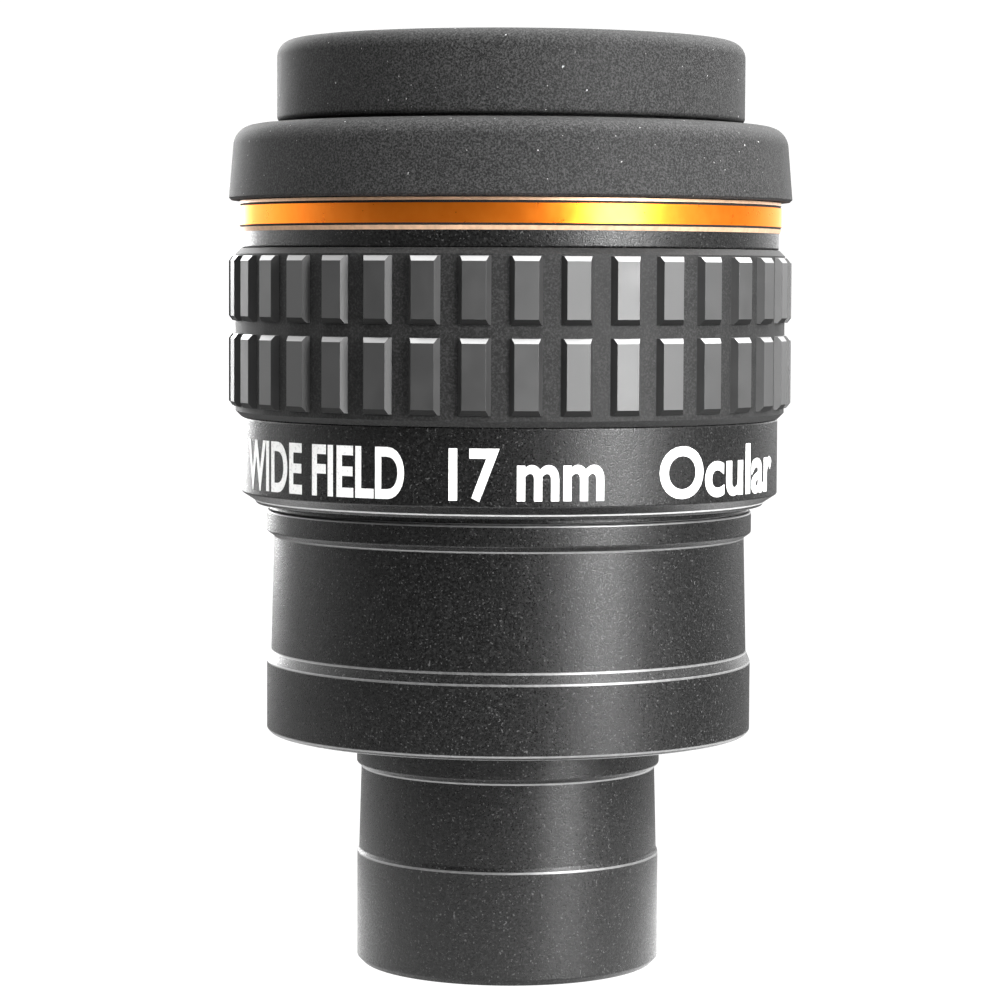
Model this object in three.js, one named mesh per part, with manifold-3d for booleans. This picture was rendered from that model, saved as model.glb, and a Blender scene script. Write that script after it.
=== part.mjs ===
// A modular wide-field telescope eyepiece: a 2 inch barrel with an unscrewing 1.25 inch nosepiece,
// eight lens elements in five groups, and a rubber eyecup that folds and pulls off.
// Millimetres, +Z up along the optical axis, origin at the centre of the nosepiece's open end.
import * as THREE from "three";
import { mergeVertices } from "three/addons/utils/BufferGeometryUtils.js";
import Module from "manifold-3d";

const wasm = await Module();
wasm.setup();

// ---- Driving dimensions ----------------------------------------------------------------------
const INCH = 25.4;
const NOSE_R = (1.25 * INCH) / 2; // 1.25 inch push-fit barrel
const BARREL_R = (2 * INCH) / 2; // 2 inch push-fit barrel
const BODY_R = 28.05; // lettered aluminium body
const GRIP_R = 28.7; // rubber grip band between its pads
const PAD_R = 29.37; // flat outer face of a grip pad
const TRIM_R = 28.3; // coloured trim ring
const SKIRT_R = 29.4; // eyecup skirt at its lower edge
const RIM_R = 24.4; // folded eyecup wall
const FILTER_BORE_R = 14.0; // M28.5 filter thread in the nosepiece
const M48_R = 23.6; // male thread of the nosepiece flange, crest
const M54_R = 27.0; // photo thread under the eyecup skirt
const M43_R = 21.5; // photo thread inside the eyecup

// Heights of the main breaks, from the nosepiece's open end upwards.
const SEAT_125_Z = 24.4; // the flange that seats on a 1.25 inch holder
const SEAT_2_Z = 48.35; // the body's shoulder that seats on a 2 inch holder
const GRIP_LOW_Z = 57.4;
const GRIP_HIGH_Z = 74.86;
const TRIM_LOW_Z = 77.1;
const TRIM_HIGH_Z = 79.4;
const SKIRT_LOW_Z = 79.85;
const SKIRT_HIGH_Z = 87.9;
const COLLAR_HIGH_Z = 90.2;
const TOP_Z = 96.4;

const PAD_COUNT = 36;
const PAD_PHASE = THREE.MathUtils.degToRad(3); // one pad stands this far from the -Y direction
const PAD_WIDTH = 3.19; // where a pad meets the band
const PAD_SIDE_BEVEL = 0.42;
const PAD_END_BEVEL = 0.5;
const PAD_ROWS = [
  { low: 58.56, high: 66.04 },
  { low: 67.39, high: 74.05 },
];

const OUTER_SIDES = 36; // facets round the shells
const INNER_SIDES = 24; // facets round the optics, which keep a wider gap

// ---- Finishes --------------------------------------------------------------------------------
function finish(color, roughness, metalness, extra = {}) {
  return new THREE.MeshStandardMaterial({ color, roughness, metalness, ...extra });
}
const blackAnodised = finish(0x2b2b2d, 0.55, 0.6);
const blackedInterior = finish(0x121212, 0.9, 0.2);
const gripRubber = finish(0x3a3a3c, 0.8, 0.0);
const eyecupRubber = finish(0x353537, 0.9, 0.0);
const amberAnodised = finish(0xf08a00, 0.3, 0.8);
const coatedGlass = finish(0x88a894, 0.05, 0.0, { transparent: true, opacity: 0.35 });

// ---- Shapes ----------------------------------------------------------------------------------
// A body turned round Z. Its [radius, height] corners run anticlockwise in the half plane; a
// profile that touches the axis stays open there, and any other closes on itself.
function turned(profile, sides = OUTER_SIDES) {
  const points = profile.map(([radius, height]) => new THREE.Vector2(radius, height));
  if (profile[0][0] > 0) points.push(points[0].clone());
  return new THREE.LatheGeometry(points, sides).rotateX(Math.PI / 2);
}

// Points along a spherical surface from the axis to the edge. A positive sag lifts the edge.
function surface(vertexZ, sag, edgeR, steps = 3) {
  const points = [];
  const ball = Math.abs(sag) > 0 ? (edgeR ** 2 + sag ** 2) / (2 * Math.abs(sag)) : Infinity;
  for (let i = 0; i <= steps; i++) {
    const radius = (edgeR * i) / steps;
    const lift = ball === Infinity ? 0 : ball - Math.sqrt(ball ** 2 - radius ** 2);
    points.push([radius, vertexZ + Math.sign(sag) * lift]);
  }
  return points;
}

// A lens element between its lower and upper vertex, each surface with its own sag at the edge.
function lensElement({ low, lowSag, high, highSag, radius }) {
  return turned([...surface(low, lowSag, radius), ...surface(high, highSag, radius).reverse()], INNER_SIDES);
}

// A plain ring, with a square section.
function ring(inner, outer, low, high, sides = INNER_SIDES) {
  return turned([[inner, low], [outer, low], [outer, high], [inner, high]], sides);
}

function solidOf(geometry) {
  const bare = geometry.clone();
  bare.deleteAttribute("normal");
  bare.deleteAttribute("uv");
  const merged = mergeVertices(bare, 1e-4);
  return new wasm.Manifold(
    new wasm.Mesh({
      numProp: 3,
      vertProperties: merged.attributes.position.array,
      triVerts: new Uint32Array(merged.index.array),
    }),
  );
}

function geometryOf(solid) {
  const { vertProperties, triVerts } = solid.getMesh();
  const geometry = new THREE.BufferGeometry();
  geometry.setAttribute("position", new THREE.BufferAttribute(vertProperties, 3));
  geometry.setIndex(new THREE.BufferAttribute(triVerts, 1));
  geometry.computeVertexNormals();
  return geometry;
}

// A threaded ring that holds a lens, with the two slots in its top that a lens spanner turns it by.
function retainingRing(inner, outer, low, high) {
  const slot = { width: 1.6, depth: 0.8 };
  const bar = new THREE.BoxGeometry(outer * 2.2, slot.width, slot.depth * 2);
  bar.translate(0, 0, high);
  return geometryOf(solidOf(ring(inner, outer, low, high)).subtract(solidOf(bar)));
}

// Each assembly is a group: what comes off together on a bench.
const eyepiece = new THREE.Group();
const nosepiece = new THREE.Group();
const housing = new THREE.Group();
const optics = new THREE.Group();
const eyecup = new THREE.Group();
eyepiece.add(nosepiece, housing, optics, eyecup);

function add(assembly, name, geometry, material) {
  const mesh = new THREE.Mesh(geometry, material);
  mesh.name = name;
  assembly.add(mesh);
}

// ---- Nosepiece: 1.25 inch barrel, flange and the negative field group -------------------------
const NOSE_GROOVE = { low: 11.6, high: 21.1, lowR: 15.68, highR: 15.45, slope: 0.45 };
const NOSE_NECK_R = 15.93;
const NOSE_CHAMFER = 0.6;
const NOSE_BORE_R = 13.3;
const FIELD_CELL = { lip: 11.6, lipLow: 16.6, seat: 17.8 };
const FLANGE_WEB_Z = 26.6;
const FLANGE_RIM = { inner: 21.6, high: 28.9 };

function noseBarrel() {
  return turned([
    [FILTER_BORE_R, 0.4],
    [FILTER_BORE_R + 0.3, 0],
    [NOSE_R - NOSE_CHAMFER, 0],
    [NOSE_R, NOSE_CHAMFER],
    [NOSE_R, NOSE_GROOVE.low],
    [NOSE_GROOVE.lowR, NOSE_GROOVE.low + NOSE_GROOVE.slope],
    [NOSE_GROOVE.highR, NOSE_GROOVE.high - NOSE_GROOVE.slope],
    [NOSE_NECK_R, NOSE_GROOVE.high],
    [NOSE_NECK_R, SEAT_125_Z],
    [M48_R - 0.3, SEAT_125_Z],
    [M48_R, SEAT_125_Z + 0.3],
    [M48_R, FLANGE_RIM.high],
    [FLANGE_RIM.inner, FLANGE_RIM.high],
    [FLANGE_RIM.inner, FLANGE_WEB_Z],
    [NOSE_BORE_R, FLANGE_WEB_Z],
    [NOSE_BORE_R, FIELD_CELL.seat],
    [FIELD_CELL.lip, FIELD_CELL.seat],
    [FIELD_CELL.lip, FIELD_CELL.lipLow],
    [NOSE_BORE_R, FIELD_CELL.lipLow],
    [NOSE_BORE_R, 5.2],
    [FILTER_BORE_R, 5.2],
  ]);
}

const FIELD_LENS_R = 12.8;
const CEMENT = 0.05; // film between the two elements of a doublet

function addNosepiece() {
  const joinZ = FIELD_CELL.seat + 2.6; // vertex of the cemented surface
  add(nosepiece, "nose_barrel", noseBarrel(), blackAnodised);
  add(
    nosepiece,
    "field_lens_lower",
    lensElement({ low: 19.3, lowSag: -1.4, high: joinZ, highSag: 0.7, radius: FIELD_LENS_R }),
    coatedGlass,
  );
  add(
    nosepiece,
    "field_lens_upper",
    lensElement({ low: joinZ + CEMENT, lowSag: 0.7, high: 23.2, highSag: 1.0, radius: FIELD_LENS_R }),
    coatedGlass,
  );
  add(nosepiece, "field_lens_retainer", retainingRing(10.9, 13.0, 24.5, 26.4), blackedInterior);
}

// ---- 2 inch barrel ---------------------------------------------------------------------------
const BARREL_CHAMFER = 0.35;
const BARREL_GROOVE = { low: 31.87, high: 45.5, lowR: 24.95, highR: 24.65, lowSlope: 1.1, highSlope: 0.55 };
const BARREL_COLLAR_HIGH = 47.8;
const RELIEF_R = 25.05;
const SPIGOT = { seat: 48.95, high: 53.0, shoulderR: 25.3, radius: 24.3 };
const BARREL_BORE = { thread: 23.9, threadHigh: 29.4, main: 22.9, mainHigh: 50.0, top: 22.0 };

function barrelTwoInch() {
  return turned([
    [BARREL_BORE.thread, SEAT_125_Z],
    [BARREL_R - BARREL_CHAMFER, SEAT_125_Z],
    [BARREL_R, SEAT_125_Z + BARREL_CHAMFER],
    [BARREL_R, BARREL_GROOVE.low],
    [BARREL_GROOVE.lowR, BARREL_GROOVE.low + BARREL_GROOVE.lowSlope],
    [BARREL_GROOVE.highR, BARREL_GROOVE.high - BARREL_GROOVE.highSlope],
    [BARREL_R, BARREL_GROOVE.high],
    [BARREL_R, BARREL_COLLAR_HIGH - 0.2],
    [RELIEF_R, BARREL_COLLAR_HIGH],
    [RELIEF_R, SEAT_2_Z],
    [SPIGOT.shoulderR, SEAT_2_Z],
    [SPIGOT.shoulderR, SPIGOT.seat],
    [SPIGOT.radius, SPIGOT.seat],
    [SPIGOT.radius, SPIGOT.high],
    [BARREL_BORE.top, SPIGOT.high],
    [BARREL_BORE.top, BARREL_BORE.mainHigh],
    [BARREL_BORE.main, BARREL_BORE.mainHigh],
    [BARREL_BORE.main, BARREL_BORE.threadHigh],
    [BARREL_BORE.thread, BARREL_BORE.threadHigh],
  ]);
}

// ---- Body, grip band, trim ring and photo-thread collar ---------------------------------------
const BODY_BORE = { socket: 25.5, thread: 24.6, ledge: 21.6, upper: 24.8 };
const BODY_LEDGE = { low: 53.3, high: 55.0 };
const GRIP_SEAT_R = 27.3;
const TRIM_NECK_R = 26.0;
const ROUNDED = { lipR: 26.5, edgeR: 26.75, edgeZ: 48.75, cornerZ: 49.6 };

function bodyShell() {
  return turned([
    [BODY_BORE.socket, SEAT_2_Z],
    [ROUNDED.lipR, SEAT_2_Z],
    [ROUNDED.edgeR, ROUNDED.edgeZ],
    [BODY_R, ROUNDED.cornerZ],
    [BODY_R, GRIP_LOW_Z],
    [GRIP_SEAT_R, GRIP_LOW_Z],
    [GRIP_SEAT_R, GRIP_HIGH_Z],
    [BODY_R, GRIP_HIGH_Z],
    [BODY_R, TRIM_LOW_Z],
    [TRIM_NECK_R, TRIM_LOW_Z],
    [TRIM_NECK_R, TRIM_HIGH_Z],
    [BODY_BORE.upper, TRIM_HIGH_Z],
    [BODY_BORE.upper, BODY_LEDGE.high],
    [BODY_BORE.ledge, BODY_LEDGE.high],
    [BODY_BORE.ledge, BODY_LEDGE.low],
    [BODY_BORE.thread, BODY_LEDGE.low],
    [BODY_BORE.thread, SPIGOT.seat + 0.05],
    [BODY_BORE.socket, SPIGOT.seat + 0.05],
  ]);
}

// One moulded pad: a block whose four sides lean in from the band's surface to its flat outer face.
// The block starts a little under that surface, where its section is larger by the same slopes.
function gripPad(row) {
  const sunk = 0.3;
  const spread = 1 + sunk / (PAD_R - GRIP_R);
  const middle = (row.low + row.high) / 2;
  const block = new THREE.BoxGeometry(1, PAD_R - GRIP_R + sunk, 1);
  block.translate(0, -(GRIP_R - sunk + PAD_R) / 2, 0);
  const corners = block.attributes.position;
  for (let i = 0; i < corners.count; i++) {
    const lean = corners.getY(i) < -GRIP_R ? 0 : spread;
    const width = PAD_WIDTH - 2 * PAD_SIDE_BEVEL * (1 - lean);
    const height = row.high - row.low - 2 * PAD_END_BEVEL * (1 - lean);
    corners.setX(i, corners.getX(i) * width);
    corners.setZ(i, middle + corners.getZ(i) * height);
  }
  return block;
}

function gripBand() {
  const chamfer = 0.6;
  const inner = GRIP_SEAT_R + 0.05;
  const sleeve = turned([
    [inner, GRIP_LOW_Z],
    [BODY_R + 0.05, GRIP_LOW_Z],
    [GRIP_R, GRIP_LOW_Z + chamfer],
    [GRIP_R, GRIP_HIGH_Z - chamfer],
    [BODY_R + 0.05, GRIP_HIGH_Z],
    [inner, GRIP_HIGH_Z],
  ]);
  const pieces = [solidOf(sleeve)];
  for (const row of PAD_ROWS) {
    for (let i = 0; i < PAD_COUNT; i++) {
      const turn = PAD_PHASE + (i * 2 * Math.PI) / PAD_COUNT;
      pieces.push(solidOf(gripPad(row).rotateZ(turn)));
    }
  }
  return geometryOf(wasm.Manifold.union(pieces));
}

const TRIM_BEVEL = 0.25;

function trimRing() {
  const inner = TRIM_NECK_R + 0.15;
  return turned([
    [inner, TRIM_LOW_Z],
    [TRIM_R - TRIM_BEVEL, TRIM_LOW_Z],
    [TRIM_R, TRIM_LOW_Z + TRIM_BEVEL],
    [TRIM_R, TRIM_HIGH_Z - TRIM_BEVEL],
    [TRIM_R - TRIM_BEVEL, TRIM_HIGH_Z],
    [inner, TRIM_HIGH_Z],
  ]);
}

const CELL_FLANGE_HIGH = 75.5;
const COLLAR = { spigotR: 24.5, boreR: 21.0, clampR: 27.9, clampHigh: 79.75, stepZ: 85.6, lipLow: 88.7 };
const EYE_APERTURE = { low: 17.4, high: 19.4 };

function threadCollar() {
  return turned([
    [COLLAR.boreR, CELL_FLANGE_HIGH + 0.1],
    [COLLAR.spigotR, CELL_FLANGE_HIGH + 0.1],
    [COLLAR.spigotR, TRIM_HIGH_Z],
    [COLLAR.clampR, TRIM_HIGH_Z],
    [COLLAR.clampR, COLLAR.clampHigh],
    [M54_R, COLLAR.clampHigh],
    [M54_R, COLLAR.stepZ],
    [M43_R, COLLAR.stepZ],
    [M43_R, COLLAR_HIGH_Z - 0.3],
    [M43_R - 0.3, COLLAR_HIGH_Z],
    [EYE_APERTURE.high, COLLAR_HIGH_Z],
    [EYE_APERTURE.low, COLLAR.lipLow],
    [COLLAR.boreR, COLLAR.lipLow],
  ]);
}

// ---- Lens cell and the positive group ---------------------------------------------------------
const CELL = {
  low: BODY_LEDGE.high,
  pilotR: 24.5,
  pilotHigh: 59.5,
  waistR: 21.6,
  flangeLow: 72.0,
  tubeR: 20.7,
  high: 87.0,
  lipR: 13.4,
  lipHigh: 56.6,
  narrowR: 15.5,
  stepZ: 65.4,
  wideR: 18.9,
};

function lensCell() {
  return turned([
    [CELL.lipR, CELL.low],
    [CELL.pilotR, CELL.low],
    [CELL.pilotR, CELL.pilotHigh],
    [CELL.waistR, CELL.pilotHigh],
    [CELL.waistR, CELL.flangeLow],
    [CELL.pilotR, CELL.flangeLow],
    [CELL.pilotR, CELL_FLANGE_HIGH],
    [CELL.tubeR, CELL_FLANGE_HIGH],
    [CELL.tubeR, CELL.high],
    [CELL.wideR, CELL.high],
    [CELL.wideR, CELL.stepZ],
    [CELL.narrowR, CELL.stepZ],
    [CELL.narrowR, CELL.lipHigh],
    [CELL.lipR, CELL.lipHigh],
  ]);
}

// The positive elements from the field side to the eye. Each cemented pair shares one surface.
const SMALL_LENS_R = 15.0;
const LARGE_LENS_R = 18.4;
const EYE_LENS_R = 17.9;
const ELEMENTS = {
  collector_lens_lower: { low: 58.1, lowSag: -1.4, high: 59.6, highSag: -2.0, radius: SMALL_LENS_R },
  collector_lens_upper: { low: 59.6 + CEMENT, lowSag: -2.0, high: 64.4, highSag: -2.5, radius: SMALL_LENS_R },
  centre_lens_lower: { low: 66.6, lowSag: 1.0, high: 68.4, highSag: 4.2, radius: LARGE_LENS_R },
  centre_lens_upper: { low: 68.4 + CEMENT, lowSag: 4.2, high: 76.4, highSag: -2.3, radius: LARGE_LENS_R },
  inner_eye_lens: { low: 76.9, lowSag: 1.6, high: 82.2, highSag: -2.2, radius: LARGE_LENS_R },
  outer_eye_lens: { low: 82.8, lowSag: 0, high: 87.6, highSag: -2.6, radius: EYE_LENS_R },
};

function addOptics() {
  add(optics, "lens_cell", lensCell(), blackedInterior);
  for (const [name, shape] of Object.entries(ELEMENTS)) {
    add(optics, name, lensElement(shape), coatedGlass);
  }
  const stepSpacer = turned(
    [
      [13.6, 62.7],
      [15.1, 62.7],
      [15.1, CELL.stepZ + 0.05],
      [18.5, CELL.stepZ + 0.05],
      [18.5, 67.4],
      [15.6, 66.9],
    ],
    INNER_SIDES,
  );
  add(optics, "collector_spacer", stepSpacer, blackedInterior);
  add(optics, "centre_spacer", ring(17.2, 18.5, 74.45, 78.2), blackedInterior);
  add(optics, "eye_spacer", ring(17.0, 18.5, 80.4, 82.65), blackedInterior);
  add(optics, "eye_lens_retainer", retainingRing(16.4, 18.6, 85.5, 87.4), blackedInterior);
  add(optics, "field_stop", ring(11.0, 21.4, 53.4, 54.8), blackedInterior);
}

// ---- Eyecup: a skirt that grips the collar, and a wall folded down over its inner wall ---------
const EYECUP = { skirtBoreR: 27.25, webLow: 86.0, innerR: 21.75, wallR: 22.85, wallHigh: 95.3, shoulderR: 28.95 };
const CORNER_R = 2.2; // rounding of the skirt's upper edge
const FOLD = { innerR: 23.05, low: 88.0, capLow: 95.5, round: 1.7 };

// A quarter turn from the outer wall to the top face, as [radius, height] points.
function roundedCorner(centreR, centreZ, radius, steps) {
  return Array.from({ length: steps + 1 }, (_, i) => {
    const angle = (i / steps) * (Math.PI / 2);
    return [centreR + radius * Math.cos(angle), centreZ + radius * Math.sin(angle)];
  });
}

function eyecupSkirt() {
  return turned([
    [EYECUP.skirtBoreR, SKIRT_LOW_Z],
    [SKIRT_R, SKIRT_LOW_Z],
    ...roundedCorner(EYECUP.shoulderR - CORNER_R, SKIRT_HIGH_Z - CORNER_R, CORNER_R, 3),
    [EYECUP.wallR, SKIRT_HIGH_Z],
    [EYECUP.wallR, EYECUP.wallHigh],
    [EYECUP.innerR, EYECUP.wallHigh],
    [EYECUP.innerR, EYECUP.webLow],
    [EYECUP.skirtBoreR, EYECUP.webLow],
  ]);
}

function eyecupFold() {
  return turned([
    [FOLD.innerR, FOLD.low],
    [RIM_R, FOLD.low],
    ...roundedCorner(RIM_R - FOLD.round, TOP_Z - FOLD.round, FOLD.round, 3),
    [EYECUP.innerR + 0.4, TOP_Z],
    [EYECUP.innerR, TOP_Z - 0.4],
    [EYECUP.innerR, FOLD.capLow],
    [FOLD.innerR, FOLD.capLow],
  ]);
}

// ---- Assembly --------------------------------------------------------------------------------
addNosepiece();
add(housing, "barrel_two_inch", barrelTwoInch(), blackAnodised);
add(housing, "body_shell", bodyShell(), blackAnodised);
add(housing, "grip_band", gripBand(), gripRubber);
add(housing, "trim_ring", trimRing(), amberAnodised);
add(housing, "thread_collar", threadCollar(), blackAnodised);
addOptics();
add(eyecup, "eyecup_skirt", eyecupSkirt(), eyecupRubber);
add(eyecup, "eyecup_fold", eyecupFold(), eyecupRubber);

export default eyepiece;
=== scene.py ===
"""A telescope eyepiece: the fine surfaces, materials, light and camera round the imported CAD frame.

Most pieces are bodies of revolution. Their outlines are read off the CAD nodes, so they stand exactly
where the design says, and are turned again with rounded edges, cut threads and many more sides.
"""

import math

import bmesh
import bpy
from mathutils import Euler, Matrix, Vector


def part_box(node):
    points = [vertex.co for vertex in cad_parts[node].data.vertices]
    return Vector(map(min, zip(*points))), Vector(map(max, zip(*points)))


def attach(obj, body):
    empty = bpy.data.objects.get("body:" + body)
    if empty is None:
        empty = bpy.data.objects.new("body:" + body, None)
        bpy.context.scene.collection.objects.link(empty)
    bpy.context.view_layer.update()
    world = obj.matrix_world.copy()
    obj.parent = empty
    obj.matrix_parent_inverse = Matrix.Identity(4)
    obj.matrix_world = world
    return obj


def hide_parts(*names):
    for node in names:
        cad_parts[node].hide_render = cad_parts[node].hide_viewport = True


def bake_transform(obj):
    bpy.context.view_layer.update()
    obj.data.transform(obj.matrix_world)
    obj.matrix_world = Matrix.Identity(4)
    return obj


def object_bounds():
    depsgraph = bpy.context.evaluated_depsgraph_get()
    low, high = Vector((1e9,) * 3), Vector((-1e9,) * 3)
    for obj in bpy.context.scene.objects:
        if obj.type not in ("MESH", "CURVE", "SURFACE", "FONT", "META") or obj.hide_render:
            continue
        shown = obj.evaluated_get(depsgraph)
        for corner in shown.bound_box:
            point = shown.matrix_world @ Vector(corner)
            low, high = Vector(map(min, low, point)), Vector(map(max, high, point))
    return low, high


MM = 0.001
SIDES = 288  # round the turned pieces
RING_SIDES = 144  # round the small rings inside
LENS_SIDES = 192

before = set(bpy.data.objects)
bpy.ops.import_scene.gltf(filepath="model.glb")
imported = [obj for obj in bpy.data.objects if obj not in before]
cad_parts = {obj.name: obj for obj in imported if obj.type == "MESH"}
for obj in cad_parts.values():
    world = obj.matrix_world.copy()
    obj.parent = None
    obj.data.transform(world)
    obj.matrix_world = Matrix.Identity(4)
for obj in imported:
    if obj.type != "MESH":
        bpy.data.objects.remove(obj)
CAD_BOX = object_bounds()

# ---- Outlines ---------------------------------------------------------------------------------
# An outline is a closed list of corners (radius, height) or (radius, height, wave), anticlockwise
# with the axis on the left. A wave is a screw thread: (depth, pitch), cut inwards from the radius.


def section(node):
    """The outline of a turned CAD node, from the edges that lie in its -Y half plane."""
    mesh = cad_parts[node].data
    tolerance = 1e-6

    def key(vertex):
        at = mesh.vertices[vertex].co
        if abs(at.x) > tolerance or at.y > tolerance:
            return None
        return (round(-at.y, 6), round(at.z, 6))

    links = {}
    for edge in mesh.edges:
        a, b = (key(v) for v in edge.vertices)
        if a and b and a != b and not (a[0] == 0 and b[0] == 0):
            links.setdefault(a, set()).add(b)
            links.setdefault(b, set()).add(a)
    start = min(links)
    loop, at, last = [start], start, None
    while True:
        onward = [p for p in sorted(links[at]) if p != last]
        if not onward or (onward[0] == start and len(loop) > 2):
            break
        last, at = at, onward[0]
        if at == start:
            break
        loop.append(at)
    area = sum(p[0] * q[1] - q[0] * p[1] for p, q in zip(loop, loop[1:] + loop[:1]))
    return loop if area > 0 else loop[::-1]


def rounded(outline, radius, steps=4, sharpest=25, least=0.0):
    """The outline with each corner turned into an arc, smaller where its sides are short.

    Corners that turn by less than `sharpest` degrees stay; `least` is the shortest cut back from one.
    """
    made = []
    most = 0.42  # of a side's length, the share that one arc may take
    count = len(outline)
    for i, corner in enumerate(outline):
        before, after = outline[i - 1], outline[(i + 1) % count]
        if len(corner) > 2 or corner[0] == 0:
            made.append(corner)
            continue
        here = Vector(corner[:2])
        to_before = Vector(before[:2]) - here
        to_after = Vector(after[:2]) - here
        turn = math.pi - to_before.angle(to_after)
        if math.degrees(turn) < sharpest:
            made.append(corner)
            continue
        wanted = max(radius * math.tan(turn / 2), least)
        cut = min(wanted, most * to_before.length, most * to_after.length)
        arc_radius = cut / math.tan(turn / 2)
        first = here + to_before.normalized() * cut
        last = here + to_after.normalized() * cut
        towards = (to_before.normalized() + to_after.normalized()).normalized()
        centre = here + towards * math.hypot(arc_radius, cut)
        for k in range(steps + 1):
            share = k / steps
            spoke = (first - centre).normalized().slerp((last - centre).normalized(), share)
            point = centre + spoke * arc_radius
            made.append((point.x, point.y))
    return made


def along_wall(outline, radius, low, high, fill):
    """The outline with what fill(bottom, top) gives put into its wall at that radius, upwards."""
    near = 0.02 * MM
    doubled = 1e-4 * MM  # corners closer than this are one corner
    made = []
    for i, corner in enumerate(outline):
        after = outline[(i + 1) % len(outline)]
        made.append(corner)
        if abs(corner[0] - radius) > near or abs(after[0] - radius) > near:
            continue
        bottom = max(low, min(corner[1], after[1]))
        top = min(high, max(corner[1], after[1]))
        if top > bottom:
            made += fill(bottom, top) if after[1] > corner[1] else fill(bottom, top)[::-1]
    return [p for i, p in enumerate(made) if math.dist(p[:2], made[i - 1][:2]) > doubled]


def threaded(outline, radius, low, high, pitch, depth, rows=8):
    """The outline with a screw thread along its wall at that radius, between two heights."""

    def thread(bottom, top):
        number = round((top - bottom) / pitch * rows)
        points = []
        for k in range(number + 1):
            height = bottom + (top - bottom) * k / max(1, number)
            ease = min(1.0, (height - bottom) / pitch, (top - height) / pitch)
            points.append((radius, height, (depth * ease, pitch)))
        return points

    return along_wall(outline, radius, low, high, thread)


GROOVE = ((0.08, 0), (0.16, 1), (0.28, 1), (0.92, 0))  # shares of its pitch and depth, upwards


def grooved(outline, radius, low, high, pitch, depth):
    """The outline with plain ring grooves along a bore, as baffles are cut to catch stray light."""

    def teeth(bottom, top):
        starts = [bottom + k * pitch for k in range(int((top - bottom) / pitch))]
        return [(radius + depth * deep, start + pitch * up) for start in starts for up, deep in GROOVE]

    return along_wall(outline, radius, low, high, teeth)


# ---- Meshes -----------------------------------------------------------------------------------
SHARP_CORNER = math.radians(32)


def smooth(piece):
    """Smooth shading that keeps flat faces flat, with true corners left sharp."""
    piece.data.shade_smooth()
    piece.data.set_sharp_from_angle(angle=SHARP_CORNER)
    weighted = piece.modifiers.new("flat_faces_stay_flat", "WEIGHTED_NORMAL")
    weighted.keep_sharp = True


def piece_of(name, vertices, faces, materials, kinds=None):
    """A new piece from its vertices and faces; kinds gives each face's material by number."""
    mesh = bpy.data.meshes.new(name)
    mesh.from_pydata(vertices, [], faces)
    for material in materials:
        mesh.materials.append(material)
    if kinds:
        mesh.polygons.foreach_set("material_index", kinds)
    mesh.validate()
    mesh.update()
    piece = bpy.data.objects.new(name, mesh)
    bpy.context.scene.collection.objects.link(piece)
    smooth(piece)
    return piece


THREAD_SLOPE = 1.25  # of a flank, over half a pitch
THREAD_CREST = 0.12  # how much of that rise the flat crest cuts off


def thread_wave(height, angle, depth, pitch):
    """How far a right-hand thread's flank lies under its crest at this height and angle."""
    phase = (height / pitch - angle / math.tau) % 1.0
    ramp = min(phase, 1.0 - phase) * 2.0
    return depth * min(1.0, max(0.0, ramp * THREAD_SLOPE - THREAD_CREST))


def lathe(name, outline, materials, sides=SIDES, kind_of=None):
    """Turns an outline into a closed mesh. A corner on the axis becomes a single pole."""
    vertices, rows = [], []
    for corner in outline:
        rows.append(len(vertices))
        if corner[0] <= 0:
            vertices.append((0.0, 0.0, corner[1]))
            continue
        for j in range(sides):
            angle = math.tau * j / sides - math.pi / 2
            radius = corner[0]
            if len(corner) > 2:
                radius -= thread_wave(corner[1], angle, *corner[2])
            vertices.append((radius * math.cos(angle), radius * math.sin(angle), corner[1]))
    faces, kinds = [], []
    for i, corner in enumerate(outline):
        after = outline[(i + 1) % len(outline)]
        if corner[0] <= 0 and after[0] <= 0:
            continue
        here, there = rows[i], rows[(i + 1) % len(outline)]
        kind = kind_of(corner, after) if kind_of else 0
        for j in range(sides):
            k = (j + 1) % sides
            if corner[0] <= 0:
                faces.append((here, there + k, there + j))
            elif after[0] <= 0:
                faces.append((here + j, here + k, there))
            else:
                faces.append((here + j, here + k, there + k, there + j))
            kinds.append(kind)
    return piece_of(name, vertices, faces, materials, kinds)


SHORT_FACET = 0.11 * MM  # only the facets of a rounded edge are shorter


def metal_finish(bore, dull=()):
    """Picks a turned part's material: 0 blasted skin, 1 edges with a painted highlight line, 2 dull black in
    the bore.

    Edges carry the painted highlight line except between each pair of heights in `dull`.
    """

    def kind_of(corner, after):
        if max(corner[0], after[0]) < bore:
            return 2
        if len(corner) > 2 or len(after) > 2:
            return 0
        if any(low < corner[1] < high for low, high in dull):
            return 0
        return 1 if math.dist(corner, after) < SHORT_FACET else 0

    return kind_of


def place(piece, body, slot, *nodes):
    """Puts a finished piece on its body and hides the CAD nodes it stands for. The slot is not used."""
    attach(piece, body)
    if nodes:
        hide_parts(*nodes)


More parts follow.
